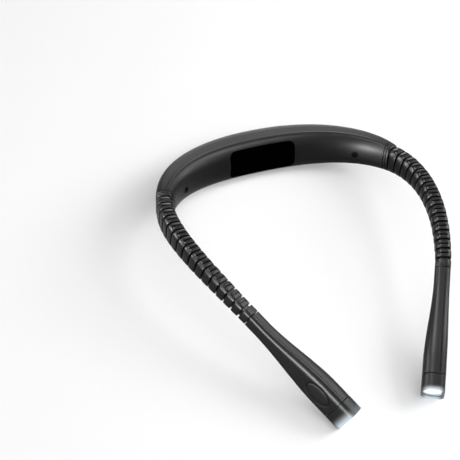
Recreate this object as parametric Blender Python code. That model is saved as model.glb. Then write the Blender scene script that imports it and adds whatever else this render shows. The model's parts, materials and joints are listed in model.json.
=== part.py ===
"""A black neck reading light: a rigid band, two flexible segmented necks and two lamp heads.

Sizes are in metres. Everything is laid out in the band's own frame, where +X runs to the right
arm, +Y runs back to the nape and +Z is square to the band. Each arm runs forwards along -Y. The
right arm is worked out, and the left arm is its mirror image. One empty then tilts the whole
light into its resting pose, on the band's back edge and both lamp heads.
"""

import math
from collections import namedtuple

import bmesh
import bpy
from mathutils import Matrix, Vector

# Fits shared by all pieces
clearance = 0.0003
seam = 0.0003
cut_overrun = 0.002

# Necks: segments on ball joints, with a groove between each two
pitch = 0.0065
segment_count = 15
groove = 0.00155
edge_chamfer = 0.0004
neck_half_width = 0.0057
neck_half_height = 0.0086
neck_flat = 0.0029
neck_flank_share = 0.55
neck_end_half_width = 0.0050
neck_end_half_height = 0.0048
neck_end_flat = 0.0025
neck_end_flank_share = 0.50
dish_wall = 0.0011
ball_clearance = 0.0005
slot_length = 0.0012
slot_depth = 0.0004
slot_slope = 0.0002

# The way each neck bends, groove by groove, from the band to the head
arm_spacing = 0.1672
start_heading = math.radians(21.88)
steady_turn = math.radians(1.40)
early_turn = math.radians(5.47)
early_grooves = 5.91
start_droop = math.radians(2.73)
steady_droop = math.radians(1.896)

# Band
band_half_thickness = 0.0095
band_half_height = 0.0128
band_flank_share = 0.30
band_back_radius = 0.0030
band_parting = 0.0057
band_crown = 0.0003
band_wall = 0.0019
band_turn_power = 0.81
band_turn_share = 0.23
band_swell_power = 0.78
band_slope_share = 0.062
band_sag_radius = 0.244
band_lift = 0.0051
band_middle = 0.0090
band_stations = 12
collar_length = 0.0045
plug_length = 0.0080

# Inlay on the band's inner face
inlay_half_length = 0.025
inlay_top = 0.0084
inlay_edge = 0.0006
inlay_corner = 0.0030
inlay_thickness = 0.0008

# Casing screws and their posts, placed from the first groove
screw_place = 0.02665
screw_drop = 0.0023
screw_head_radius = 0.0019
screw_head_height = 0.0012
screw_radius = 0.0010
screw_length = 0.0080
screw_recess = 0.0006
screw_seat = 0.0012
post_wall = 0.0012

# Battery, charging board and charging inlet
cell_length = 0.036
cell_height = 0.018
cell_thickness = 0.0095
cell_round = 0.0012
inlet_place = 0.040
inlet_width = 0.0090
inlet_height = 0.0033
inlet_depth = 0.0072
inlet_wall = 0.0003
inlet_setback = 0.0002
board_thickness = 0.0012
charge_board_length = 0.022
charge_board_height = 0.014

# Lamp heads
head_length = 0.0897
head_collar = 0.0060
head_turn = math.radians(4.32)
head_droop = math.radians(3.75)
head_outer = 0.0059
head_inner = 0.0084
head_half_height = 0.0093
head_rise = 0.0004
head_outer_flat = 0.0018
head_inner_flat = 0.0015
head_flank_share = 0.45
head_flare_start_share = 0.164
head_flare_end_share = 0.765
head_wall = 0.0016
head_parting = 0.0005
head_stations = 9
spigot_length = 0.0080
bezel_length = 0.0105
bezel_wall = 0.0011
bezel_ledge = 0.0009
lens_recess = 0.0020
lens_thickness = 0.0015
reflector_depth = 0.0080
reflector_wall = 0.0007
emitter_side = 0.0030
emitter_height = 0.0009

# Buttons
button_gap = 0.0004
button_rise = 0.0010
button_half_length = 0.0085
button_half_width = 0.0036
button_proud = 0.0006
button_travel = 0.0006
button_flange = 0.0006
button_flange_thickness = 0.0008
switch_board_half_length = 0.0100
switch_half_length = 0.0031
switch_half_width = 0.0018
switch_height = 0.0016

# Counts of facets
corner_steps = 3
shell_steps = 4
line_steps = 96
oval_points = 24
round_points = 16
corner_angle = math.radians(40)

Section = namedtuple("Section", "outer outer_flat outer_flank inner inner_flat inner_flank height")
mirror = Matrix.Diagonal((-1, 1, 1, 1))
sides = (("right", 1), ("left", -1))
frames = {}


def mix(start, end, share):
    return start + (end - start) * share


def halves(start, end, count):
    """Evenly spaced values from start to end, both included."""
    return [mix(start, end, step / count) for step in range(count + 1)]


# Scene, materials and objects


def clear_scene():
    for old in list(bpy.data.objects):
        bpy.data.objects.remove(old)


def finish(name, color, roughness, metallic=0.0, transmission=0.0, glow=0.0):
    material = bpy.data.materials.new(name)
    material.use_nodes = True
    shader = material.node_tree.nodes["Principled BSDF"]
    shader.inputs["Base Color"].default_value = (*color, 1)
    shader.inputs["Roughness"].default_value = roughness
    shader.inputs["Metallic"].default_value = metallic
    shader.inputs["Transmission Weight"].default_value = transmission
    shader.inputs["Emission Color"].default_value = (*color, 1)
    shader.inputs["Emission Strength"].default_value = glow
    material.diffuse_color = (*color, 1)
    return material


def link(obj, parent, frame):
    """Hang an object on its parent, so that it lies at this frame of the band."""
    bpy.context.scene.collection.objects.link(obj)
    obj.parent = parent
    start = frames[parent.name] if parent else Matrix.Identity(4)
    obj.matrix_basis = start.inverted() @ frame
    frames[obj.name] = frame


def add_empty(name, parent, frame):
    empty = bpy.data.objects.new(name, None)
    empty.empty_display_size = pitch
    link(empty, parent, frame)
    return empty


def skin(rings, capped, looped):
    """One closed mesh over a row of rings. A ring of one point closes an end with a fan."""
    mesh = bmesh.new()
    rows = [[mesh.verts.new(point) for point in ring] for ring in rings]
    pairs = list(zip(rows, rows[1:]))
    if looped:
        pairs.append((rows[-1], rows[0]))
    for first, second in pairs:
        bridge(mesh, first, second)
    if capped == "flat":
        for row in (rows[0], rows[-1]):
            if len(row) > 1:
                mesh.faces.new(row)
    if capped == "strip":
        for row in (rows[0], rows[-1]):
            bridge_halves(mesh, row)
    bmesh.ops.recalc_face_normals(mesh, faces=mesh.faces)
    return mesh


def bridge(mesh, first, second):
    count = max(len(first), len(second))
    for here in range(count):
        after = (here + 1) % count
        corners = [first[here % len(first)], first[after % len(first)]]
        corners += [second[after % len(second)], second[here % len(second)]]
        mesh.faces.new(dict.fromkeys(corners))


def bridge_halves(mesh, row):
    """Close the end of a shell between its outer path and its inner path, which runs back."""
    last = len(row) - 1
    for here in range(len(row) // 2 - 1):
        mesh.faces.new((row[here], row[here + 1], row[last - here - 1], row[last - here]))


def add_solid(name, rings, parent, frame, material=None, side=1, capped="flat", looped=False):
    """A named solid from rings in the right half of the band's frame, mirrored for side -1."""
    if side < 0:
        rings = [[mirror @ point for point in ring] for ring in rings]
        frame = mirror @ frame @ mirror
    inverse = frame.inverted()
    solid = skin([[inverse @ point for point in ring] for ring in rings], capped, looped)
    data = bpy.data.meshes.new(name)
    solid.to_mesh(data)
    solid.free()
    data.shade_smooth()
    data.set_sharp_from_angle(angle=corner_angle)
    obj = bpy.data.objects.new(name, data)
    link(obj, parent, frame)
    if material:
        data.materials.append(material)
    else:
        obj.hide_render = True
        obj.display_type = "WIRE"
    return obj


def carve(obj, tool, operation="DIFFERENCE"):
    boolean = obj.modifiers.new(tool.name, "BOOLEAN")
    boolean.operation = operation
    boolean.object = tool
    boolean.solver = "EXACT"


# Outlines across a piece, as (outward, upward) pairs


def flank_outline(side, flat, flank, height, steps, inset=0.0):
    """One side of a section, from the end of its top flat round to the end of its bottom flat."""
    top = []
    for turn in halves(0, math.pi / 2, steps):
        x = flat + (side - inset - flat) * math.sin(turn)
        z = flank + (height - inset - flank) * math.cos(turn)
        top.append((x, z))
    return top + [(x, -z) for x, z in reversed(top)]


def whole_outline(section, steps, inset=0.0):
    outer = flank_outline(
        section.outer, section.outer_flat, section.outer_flank, section.height, steps, inset
    )
    inner = flank_outline(
        section.inner, section.inner_flat, section.inner_flank, section.height, steps, inset
    )
    return outer + [(-x, z) for x, z in reversed(inner)]


def shell_outline(side, flat, flank, height, edge, steps, wall):
    """A half shell: its outer path, then its inner path back, both ending at the parting edge."""
    outer = flank_outline(side, flat, flank, height, steps)
    inner = flank_outline(side, flat, flank, height, steps, wall)
    outer = [(edge, height)] + outer + [(edge, -height)]
    inner = [(edge, height - wall)] + inner + [(edge, wall - height)]
    return outer + inner[::-1]


def round_outline(radius, count):
    """A circle whose points keep step with a section's outline."""
    turns = [math.tau * (step + 0.5) / count for step in range(count)]
    return [(radius * math.sin(turn), radius * math.cos(turn)) for turn in turns]


def oval_outline(half_length, half_width, count):
    turns = [math.tau * step / count for step in range(count)]
    return [(half_length * math.cos(turn), half_width * math.sin(turn)) for turn in turns]


def box_outline(half_length, half_width):
    """A rectangle in the order that the ring functions expect."""
    right, top = half_length, half_width
    return [(-right, top), (right, top), (right, -top), (-right, -top)]


def across(frame, outline, forward=0.0):
    """A ring square to the arm, at a distance forwards of the frame."""
    return [frame @ Vector((x, -forward, z)) for x, z in outline]


def sideways(frame, outline, outward):
    """A ring that faces outwards, from (forward, upward) pairs."""
    return [frame @ Vector((outward, -forward, z)) for forward, z in outline]


# Neck line and sections


def frame_at(point, heading, slope):
    turn = Matrix.Rotation(heading, 4, "Z") @ Matrix.Rotation(-slope, 4, "X")
    return Matrix.Translation(point) @ turn


def neck_heading(place):
    eased = early_turn * early_grooves * (1 - math.exp(-place / early_grooves))
    return start_heading - steady_turn * place - eased


def neck_slope(place):
    return -start_droop - steady_droop * place


def neck_frames():
    """The frame of each segment, at the centre of the groove behind it, then the last groove."""
    point = Vector((arm_spacing / 2, 0, 0))
    found = []
    for place in range(segment_count + 1):
        middle = place + 0.5 if place < segment_count else place
        heading = (neck_heading(place) + neck_heading(2 * middle - place)) / 2
        frame = frame_at(point, heading, neck_slope(middle))
        found.append(frame)
        point = frame @ Vector((0, -pitch, 0))
    return found


def neck_section(place):
    share = place / segment_count
    width = mix(neck_half_width, neck_end_half_width, share)
    height = mix(neck_half_height, neck_end_half_height, share)
    flat = mix(neck_flat, neck_end_flat, share)
    flank = height * mix(neck_flank_share, neck_end_flank_share, share)
    return Section(width, flat, flank, width, flat, flank, height)


dish_radius = neck_end_half_height - dish_wall
ball_radius = dish_radius - ball_clearance
half_groove = groove / 2
ring_points = 4 * (corner_steps + 1)


def ball_rings(frame, centre):
    """The ball at a groove's centre and its short stem, from the face behind the groove."""
    stem = round_outline(math.sqrt(ball_radius**2 - half_groove**2), ring_points)
    shoulder = ball_radius * math.sin(math.pi / 4)
    cap = round_outline(shoulder, ring_points)
    rings = [across(frame, stem, centre - half_groove), across(frame, stem, centre + half_groove)]
    rings.append(across(frame, cap, centre + shoulder))
    rings.append(across(frame, [(0, 0)], centre + ball_radius))
    return rings


def dish_rings(frame):
    """The hollow that takes the ball at this frame's own origin, from its bottom to its rim."""
    shoulder = dish_radius * math.sin(math.pi / 4)
    rim = round_outline(math.sqrt(dish_radius**2 - half_groove**2), ring_points)
    rings = [across(frame, [(0, 0)], dish_radius)]
    rings.append(across(frame, round_outline(shoulder, ring_points), shoulder))
    rings.append(across(frame, rim, half_groove))
    return rings


def slotted(outline):
    """A segment's outline with its top flat lowered to the bottom of the slot."""
    lowered = list(outline)
    for here in (0, -1):
        x, z = lowered[here]
        lowered[here] = (x, z - slot_depth)
    return lowered


def segment_rings(frame, place):
    """One segment: dish, chamfered body with a slot across its top, and ball."""
    slot = (pitch - slot_length) / 2
    cuts = [half_groove + edge_chamfer, slot - slot_slope, slot, pitch - slot]
    cuts += [pitch - slot + slot_slope, pitch - half_groove - edge_chamfer]
    rings = dish_rings(frame)
    inset = whole_outline(neck_section(place + half_groove / pitch), corner_steps, edge_chamfer)
    rings.append(across(frame, inset, half_groove))
    for step, cut in enumerate(cuts):
        outline = whole_outline(neck_section(place + cut / pitch), corner_steps)
        if step in (2, 3):
            outline = slotted(outline)
        rings.append(across(frame, outline, cut))
    front = neck_section(place + 1 - half_groove / pitch)
    inset = whole_outline(front, corner_steps, edge_chamfer)
    rings.append(across(frame, inset, pitch - half_groove))
    return rings + ball_rings(frame, pitch)


# Band line and sections, where 0 is the first groove and 1 the middle of the nape


def band_heading(share):
    turned = (1 + band_turn_share) * share**band_turn_power - band_turn_share * share**3
    return mix(start_heading, math.pi / 2, turned)


def band_reach(share):
    """How far the band has come inwards and backwards, in half lengths."""
    step = share / line_steps
    headings = [band_heading((count + 0.5) * step) for count in range(line_steps)]
    return sum(map(math.sin, headings)) * step, sum(map(math.cos, headings)) * step


band_half_length = arm_spacing / 2 / band_reach(1)[0]


def band_swell(share):
    return math.sin(share * math.pi / 2) ** band_swell_power


def band_frame(share):
    inwards, backwards = band_reach(share)
    y = backwards * band_half_length
    z = band_slope_share * y - y * y / (2 * band_sag_radius) + band_lift * band_swell(share)
    return frame_at((arm_spacing / 2 - inwards * band_half_length, y, z), band_heading(share), 0)


def band_section(share):
    swell = band_swell(share)
    thick = mix(neck_half_width, band_half_thickness, swell)
    height = mix(neck_half_height, band_half_height, swell)
    back_flat = thick - mix(neck_half_width - neck_flat, band_back_radius, swell)
    back_flank = height - mix(neck_half_height * (1 - neck_flank_share), band_back_radius, swell)
    front_flat = mix(neck_flat, band_parting + band_crown, swell)
    front_flank = height * mix(neck_flank_share, band_flank_share, swell)
    return Section(thick, back_flat, back_flank, thick, front_flat, front_flank, height)


def mirrored_row(rings):
    """Rings along the right half of the band, carried on along the left half."""
    return rings + [[mirror @ point for point in ring] for ring in reversed(rings)]


def from_middle(distance):
    """The share of the band's half length at a distance from the middle of the nape."""
    return 1 - distance / band_half_length


collar_share = collar_length / band_half_length


def socket_rings():
    """A band-side collar: a plug inside the casing, the collar itself and the first ball."""
    first = band_frame(0)
    plug_share = (collar_length + plug_length) / band_half_length
    chamfer_share = edge_chamfer / band_half_length
    face_share = half_groove / band_half_length
    row = [(plug_share, band_wall + clearance), (collar_share, band_wall + clearance)]
    row += [(collar_share, 0), (face_share + chamfer_share, 0), (face_share, edge_chamfer)]
    rings = []
    for share, inset in row:
        outline = whole_outline(band_section(share), corner_steps, inset)
        rings.append(across(band_frame(share), outline))
    return rings + ball_rings(first, 0)


def band_shell_rings(back):
    """The casing's back half, boxy, or its front half, rounded towards the wearer.

    The middle of the nape lies between the last ring and its mirror image.
    """
    rings = []
    first = collar_share + clearance / band_half_length
    for share in halves(first, from_middle(band_middle / 2), band_stations):
        section = band_section(share)
        parting = -band_parting * band_swell(share)
        if back:
            edge = parting + seam / 2
            outline = shell_outline(
                section.outer, section.outer_flat, section.outer_flank, section.height,
                edge, corner_steps, band_wall,
            )
        else:
            edge = seam / 2 - parting
            outline = shell_outline(
                section.inner, section.inner_flat, section.inner_flank, section.height,
                edge, shell_steps, band_wall,
            )
            outline = [(-x, z) for x, z in outline]
        rings.append(across(band_frame(share), outline))
    return mirrored_row(rings)


def front_face(section, z, inset):
    """How far the front half's surface lies from the band's line at a height."""
    flank = section.inner_flank
    rise = min(1.0, max(0.0, abs(z) - flank) / (section.height - flank))
    bulge = (section.inner - section.inner_flat) * math.sqrt(1 - rise**2)
    return section.inner_flat + bulge - inset


def inlay_stations():
    """Distances from the middle of the nape, and how much the rounded corners cut off there."""
    straight = inlay_half_length - inlay_corner
    stations = []
    for turn in halves(math.pi / 2, 0, shell_steps):
        cut = inlay_corner * (1 - math.cos(turn))
        stations.append((straight + inlay_corner * math.sin(turn), cut))
    for distance in halves(straight, band_middle / 2, shell_steps)[1:]:
        stations.append((distance, 0.0))
    return stations


def inlay_rings(margin, outer_inset, inner_inset):
    """The inlay's plate on the front face, or with a margin the pocket that takes it."""
    rings = []
    for distance, cut in inlay_stations():
        grown = distance + margin * distance / inlay_half_length
        share = from_middle(grown)
        section = band_section(share)
        bottom = section.height - inlay_edge
        heights = inlay_heights(section, inlay_top + margin - cut, bottom + margin - cut)
        outer = [(-front_face(section, z, outer_inset), z) for z in heights]
        inner = [(-front_face(section, z, inner_inset), z) for z in heights]
        rings.append(across(band_frame(share), outer + inner[::-1]))
    return mirrored_row(rings)


def inlay_heights(section, top, bottom):
    """Heights down the inlay, close together where the face curves."""
    flank = section.inner_flank
    upper = halves(top, flank, corner_steps)
    lower = halves(-flank, -bottom, shell_steps)
    return upper + lower


# Heads


def head_share(forward):
    share = forward / head_length - head_flare_start_share
    share /= head_flare_end_share - head_flare_start_share
    share = min(1.0, max(0.0, share))
    return share * share * (3 - 2 * share)


def head_section(forward):
    flare = head_share(forward)
    end = neck_section(segment_count)
    height = mix(end.height, head_half_height, flare)
    flank = height * mix(neck_end_flank_share, head_flank_share, flare)
    outer_flat = mix(end.outer_flat, head_outer_flat, flare)
    inner_flat = mix(end.inner_flat, head_inner_flat, flare)
    outer = mix(end.outer, head_outer, flare)
    inner = mix(end.inner, head_inner, flare)
    return Section(outer, outer_flat, flank, inner, inner_flat, flank, height)


def head_ring(frame, forward, inset, steps=shell_steps):
    outline = whole_outline(head_section(forward), steps, inset)
    return across(frame, lifted(outline, forward), forward)


def lifted(outline, forward):
    """An outline raised by the head's own rise at this distance."""
    rise = head_rise * head_share(forward)
    return [(x, z + rise) for x, z in outline]


def head_collar_rings(frame):
    """The head-side collar with the last dish, and the spigot inside the head's shells."""
    rings = dish_rings(frame)
    inner = head_wall + clearance
    row = [(half_groove, edge_chamfer), (half_groove + edge_chamfer, 0), (head_collar, 0)]
    row += [(head_collar, inner), (head_collar + spigot_length, inner)]
    for forward, inset in row:
        rings.append(head_ring(frame, forward, inset, corner_steps))
    return rings


bezel_start = head_length - bezel_length


def head_shell_rings(frame, outside):
    rings = []
    for forward in halves(head_collar + clearance, bezel_start - clearance, head_stations):
        section = head_section(forward)
        parting = section.outer_flat - head_parting
        if outside:
            outline = shell_outline(
                section.outer, section.outer_flat, section.outer_flank, section.height,
                parting + seam / 2, shell_steps, head_wall,
            )
        else:
            outline = shell_outline(
                section.inner, section.inner_flat, section.inner_flank, section.height,
                seam / 2 - parting, shell_steps, head_wall,
            )
            outline = [(-x, z) for x, z in outline]
        rings.append(across(frame, lifted(outline, forward), forward))
    return rings


lens_front = head_length - lens_recess
lens_back = lens_front - lens_thickness
ledge_front = lens_back - clearance
reflector_front = ledge_front
reflector_back = reflector_front - reflector_depth
board_front = reflector_back - clearance
board_back = board_front - board_thickness
ledge_inset = bezel_wall + bezel_ledge


def bezel_rings(frame):
    """The mouth: a wall round the lens, a ledge behind it and an open back."""
    row = [(bezel_start, 0), (head_length - edge_chamfer, 0), (head_length, edge_chamfer)]
    row += [(head_length, bezel_wall), (ledge_front, bezel_wall)]
    row += [(ledge_front, ledge_inset), (bezel_start, ledge_inset)]
    return [head_ring(frame, forward, inset) for forward, inset in row]


def lens_rings(frame):
    inset = bezel_wall + clearance
    return [head_ring(frame, forward, inset) for forward in (lens_back, lens_front)]


def reflector_rings(frame):
    """A cup from the ledge back to the emitter, open at both ends."""
    hole = emitter_side / 2 * math.sqrt(2) + clearance
    points = 4 * (shell_steps + 1)
    outside = head_ring(frame, reflector_front, ledge_inset + clearance)
    inside = head_ring(frame, reflector_front, ledge_inset + clearance + reflector_wall)
    rings = [outside]
    for radius in (hole + reflector_wall, hole):
        outline = lifted(round_outline(radius, points), reflector_back)
        rings.append(across(frame, outline, reflector_back))
    return rings + [inside]


def board_rings(frame):
    inset = head_wall + clearance
    return [head_ring(frame, forward, inset) for forward in (board_back, board_front)]


def emitter_rings(frame):
    outline = lifted(box_outline(emitter_side / 2, emitter_side / 2), reflector_back)
    start = board_front + clearance
    return [across(frame, outline, forward) for forward in (start, start + emitter_height)]


# Buttons, in a frame whose origin is the button's centre on the head's outer face


# The button's board ends just behind the lamp's board
button_place = board_back - button_gap - switch_board_half_length


def button_frame(frame):
    rise = button_rise + head_rise * head_share(button_place)
    return frame @ Matrix.Translation((head_section(button_place).outer, -button_place, rise))


flange_front = -(head_wall + clearance)
flange_back = flange_front - button_flange_thickness
switch_top = flange_back - button_travel - clearance
switch_base = switch_top - switch_height


def button_rings(frame):
    flange = oval_outline(
        button_half_length + button_flange, button_half_width + button_flange, oval_points
    )
    body = oval_outline(button_half_length, button_half_width, oval_points)
    top = oval_outline(
        button_half_length - edge_chamfer, button_half_width - edge_chamfer, oval_points
    )
    rings = [sideways(frame, flange, flange_back), sideways(frame, flange, flange_front)]
    rings.append(sideways(frame, body, flange_front))
    rings.append(sideways(frame, body, button_proud - edge_chamfer))
    rings.append(sideways(frame, top, button_proud))
    return rings


def button_opening_rings(frame):
    outline = oval_outline(
        button_half_length + clearance, button_half_width + clearance, oval_points
    )
    places = (-head_wall - cut_overrun, cut_overrun)
    return [sideways(frame, outline, place) for place in places]


def switch_rings(frame, button):
    """The switch on its board, which reaches the head's top and bottom walls."""
    rings = []
    inverse = button.inverted() @ frame
    for outward in (switch_base - board_thickness, switch_base):
        rings.append([button @ point for point in switch_board(inverse, outward)])
    body = box_outline(switch_half_length, switch_half_width)
    for outward in (switch_base, switch_top):
        rings.append(sideways(button, body, outward))
    return rings


def switch_board(inverse, outward):
    """The board's four corners in the button's frame, inside the head's taper."""
    corners = []
    for end, up in ((-1, 1), (1, 1), (1, -1), (-1, -1)):
        forward = button_place + end * switch_board_half_length
        section = head_section(min(forward, button_place - switch_board_half_length))
        reach = section.height - head_wall - clearance
        rise = head_rise * head_share(forward)
        corner = inverse @ Vector((0, -forward, up * reach + rise))
        corners.append(Vector((outward, corner.y, corner.z)))
    return corners


# Screws, in a frame whose -X axis points into the wearer's side of the band


screw_share = screw_place / band_half_length


def screw_frame():
    face = band_section(screw_share).inner
    return band_frame(screw_share) @ Matrix.Translation((-face, 0, -screw_drop))


def turned_rings(frame, profile):
    """Rings round the X axis from (depth, radius) pairs, depth measured into the casing."""
    rings = []
    for depth, radius in profile:
        outline = round_outline(radius, round_points)
        rings.append([frame @ Vector((depth, y, z)) for y, z in outline])
    return rings


screw_head_back = screw_recess + screw_head_height
seat_depth = screw_head_back + clearance
front_post_end = seat_depth + screw_seat


def screw_rings(frame):
    end = screw_recess + screw_length
    profile = [(screw_recess, screw_head_radius), (screw_head_back, screw_head_radius)]
    profile += [(screw_head_back, screw_radius), (end, screw_radius)]
    return turned_rings(frame, profile)


def front_post_rings(frame):
    radius = screw_head_radius + clearance + post_wall
    return turned_rings(frame, [(band_wall / 2, radius), (front_post_end, radius)])


def screw_hole_rings(frame):
    head = screw_head_radius + clearance
    shank = screw_radius + clearance
    end = front_post_end + cut_overrun
    profile = [(-cut_overrun, head), (seat_depth, head), (seat_depth, shank), (end, shank)]
    return turned_rings(frame, profile)


def back_post_rings(frame):
    depth = 2 * band_section(screw_share).outer - band_wall / 2
    radius = screw_radius + clearance + post_wall
    return turned_rings(frame, [(front_post_end + clearance, radius), (depth, radius)])


def back_hole_rings(frame):
    shank = screw_radius + clearance
    end = screw_recess + screw_length + clearance
    return turned_rings(frame, [(front_post_end - cut_overrun, shank), (end, shank)])


# Battery, charging board and inlet


def cell_rings(frame):
    """A flat cell lying on the inside of the front half, with rounded ends."""
    front = -(band_section(1).inner - band_wall - clearance)
    rings = []
    length, height = cell_length / 2, cell_height / 2
    row = [(0, cell_round), (cell_round, 0)]
    row += [(cell_thickness - cell_round, 0), (cell_thickness, cell_round)]
    for depth, inset in row:
        outline = box_outline(length - inset, height - inset)
        rings.append(sideways(frame, outline, front + depth))
    return rings


def inlet_frame():
    share = from_middle(inlet_place)
    outward = band_section(share).outer - inlet_setback
    return band_frame(share) @ Matrix.Translation((outward, 0, 0))


def inlet_outline(inset):
    half_height = inlet_height / 2 - inset
    straight = inlet_width / 2 - inlet_height / 2
    ends = []
    for turn in halves(math.pi / 2, -math.pi / 2, shell_steps):
        ends.append((straight + half_height * math.cos(turn), half_height * math.sin(turn)))
    return ends + [(-x, z) for x, z in reversed(ends)]


def inlet_rings(frame):
    """The charging inlet's sleeve, closed at its back."""
    outer = inlet_outline(0)
    inner = inlet_outline(inlet_wall)
    rings = [sideways(frame, outer, -inlet_depth), sideways(frame, outer, 0)]
    rings += [sideways(frame, inner, 0), sideways(frame, inner, board_thickness - inlet_depth)]
    return rings


def inlet_opening_rings(frame):
    outline = inlet_outline(-clearance)
    places = (-band_wall - cut_overrun, cut_overrun)
    return [sideways(frame, outline, place) for place in places]


def charge_board_rings(frame):
    outline = box_outline(charge_board_length / 2, charge_board_height / 2)
    front = -inlet_depth - clearance
    return [sideways(frame, outline, place) for place in (front - board_thickness, front)]


# Assembly


def make_finishes():
    black = (0.022, 0.022, 0.023)
    return {
        "casing": finish("satin_black_plastic", black, 0.42),
        "segment": finish("soft_black_rubber", (0.030, 0.030, 0.031), 0.50),
        "inlay": finish("black_inlay", (0.002, 0.002, 0.002), 0.25),
        "button": finish("button_rubber", (0.020, 0.020, 0.021), 0.55),
        "bezel": finish("bezel_plastic", (0.018, 0.018, 0.019), 0.38),
        "lens": finish("clear_lens", (0.90, 0.95, 1.0), 0.10, transmission=0.9),
        "reflector": finish("bright_reflector", (0.85, 0.87, 0.90), 0.12, metallic=1.0),
        "emitter": finish("white_emitter", (0.85, 0.94, 1.0), 0.30, glow=6.0),
        "board": finish("circuit_board", (0.03, 0.16, 0.07), 0.50),
        "switch": finish("switch_plastic", (0.05, 0.05, 0.05), 0.50),
        "metal": finish("plated_steel", (0.55, 0.55, 0.56), 0.30, metallic=1.0),
        "cell": finish("cell_wrap", (0.15, 0.22, 0.42), 0.45),
    }


def build_band(root, finishes):
    middle = band_frame(1)
    casing = finishes["casing"]
    back = band_shell_rings(True)
    back = add_solid("band_rear_shell", back, root, middle, casing, capped="strip")
    front = band_shell_rings(False)
    front = add_solid("band_front_shell", front, root, middle, casing, capped="strip")
    inlay = inlay_rings(0.0, 0.0, inlay_thickness)
    add_solid("nape_inlay", inlay, root, middle, finishes["inlay"])
    pocket = inlay_rings(clearance, -cut_overrun, inlay_thickness + clearance)
    carve(front, add_solid("inlay_pocket", pocket, root, middle))
    add_solid("battery_cell", cell_rings(middle), root, middle, finishes["cell"])
    inlet = inlet_frame()
    add_solid("usb_c_socket", inlet_rings(inlet), root, inlet, finishes["metal"])
    add_solid("charge_board", charge_board_rings(inlet), root, inlet, finishes["board"])
    carve(back, add_solid("inlet_opening", inlet_opening_rings(inlet), root, inlet))
    for name, side in sides:
        build_screw(name, side, root, front, back, finishes["metal"])


def build_screw(name, side, root, front, back, metal):
    frame = screw_frame()
    add_solid("casing_screw_" + name, screw_rings(frame), root, frame, metal, side)
    tools = [("front_post_", front_post_rings, front, "UNION")]
    tools += [("screw_hole_", screw_hole_rings, front, "DIFFERENCE")]
    tools += [("back_post_", back_post_rings, back, "UNION")]
    tools += [("back_hole_", back_hole_rings, back, "DIFFERENCE")]
    for label, rings, target, operation in tools:
        tool = add_solid(label + name, rings(frame), root, frame, None, side)
        carve(target, tool, operation)


def build_neck(name, side, root, finishes):
    """The socket on the band, then each segment on its own pivot; returns the last pivot."""
    socket = band_frame(0)
    add_solid("neck_socket_" + name, socket_rings(), root, socket, finishes["casing"], side)
    parent = root
    places = neck_frames()
    for place, frame in enumerate(places[:segment_count]):
        number = place + 1
        pivot = mirror @ frame @ mirror if side < 0 else frame
        parent = add_empty(f"{name}_pivot_{number:02d}", parent, pivot)
        rings = segment_rings(frame, place)
        label = f"{name}_neck_segment_{number:02d}"
        add_solid(label, rings, parent, frame, finishes["segment"], side)
    return parent, places[segment_count]


def build_head(name, side, parent, place, finishes):
    turn = Matrix.Rotation(-head_turn, 4, "Z")
    point = place.to_translation()
    heading = neck_heading(segment_count)
    slope = neck_slope(segment_count)
    frame = Matrix.Translation(point) @ turn @ frame_at((0, 0, 0), heading, slope - head_droop)
    pivot = mirror @ frame @ mirror if side < 0 else frame
    parent = add_empty(f"{name}_pivot_{segment_count + 1:02d}", parent, pivot)
    pieces = [("collar", head_collar_rings(frame), "casing", "flat", False)]
    pieces += [("outer_shell", head_shell_rings(frame, True), "casing", "strip", False)]
    pieces += [("inner_shell", head_shell_rings(frame, False), "casing", "strip", False)]
    pieces += [("bezel", bezel_rings(frame), "bezel", None, True)]
    pieces += [("lens", lens_rings(frame), "lens", "flat", False)]
    pieces += [("reflector", reflector_rings(frame), "reflector", None, True)]
    pieces += [("led_board", board_rings(frame), "board", "flat", False)]
    pieces += [("led_emitter", emitter_rings(frame), "emitter", "flat", False)]
    made = {}
    for label, rings, material, capped, looped in pieces:
        made[label] = add_solid(
            f"{name}_head_{label}", rings, parent, frame, finishes[material], side, capped, looped
        )
    build_button(name, side, parent, frame, made["outer_shell"], finishes)


def build_button(name, side, parent, frame, shell, finishes):
    place = button_frame(frame)
    add_solid(f"{name}_head_button", button_rings(place), parent, place, finishes["button"], side)
    switch = switch_rings(frame, place)
    add_solid(f"{name}_head_button_switch", switch, parent, place, finishes["switch"], side)
    opening = button_opening_rings(place)
    carve(shell, add_solid(f"{name}_button_opening", opening, parent, place, None, side))


def corners_in_band_frame():
    points = []
    for obj in bpy.data.objects:
        if obj.type == "MESH" and not obj.hide_render:
            points += [frames[obj.name] @ vertex.co for vertex in obj.data.vertices]
    return points


def lowest(points, tilt):
    turn = Matrix.Rotation(tilt, 3, "X")
    return min((turn @ point).z for point in points)


def set_down(root):
    """Tilt the light until band and heads stand at one height, then lift it onto z = 0."""
    points = corners_in_band_frame()
    heads = [point for point in points if point.y < 0]
    band = [point for point in points if point.y >= 0]
    low, high = -math.pi / 2, math.pi / 2
    for _ in range(line_steps):
        tilt = (low + high) / 2
        if lowest(heads, tilt) > lowest(band, tilt):
            low = tilt
        else:
            high = tilt
    turn = Matrix.Rotation(tilt, 3, "X")
    turned = [turn @ point for point in points]
    middle = (min(p.y for p in turned) + max(p.y for p in turned)) / 2
    root.rotation_euler.x = tilt
    root.location = (0, -middle, -min(p.z for p in turned))


def main():
    clear_scene()
    finishes = make_finishes()
    root = add_empty("rest_pose", None, Matrix.Identity(4))
    build_band(root, finishes)
    for name, side in sides:
        parent, place = build_neck(name, side, root, finishes)
        build_head(name, side, parent, place, finishes)
    set_down(root)


main()
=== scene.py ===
# %% [markdown]
# # A neck reading light, dressed around its CAD frame
#
# The light hangs round a reader's neck: a rigid band at the nape, two necks of soft links that bend
# and stay bent, and two lamp heads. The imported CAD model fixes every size, place and joint, so it is
# loaded first and never changed. Each visible piece is then modelled finely around it and finished.

# %% Load the fixed frame
import json
import math
from collections import namedtuple

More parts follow.
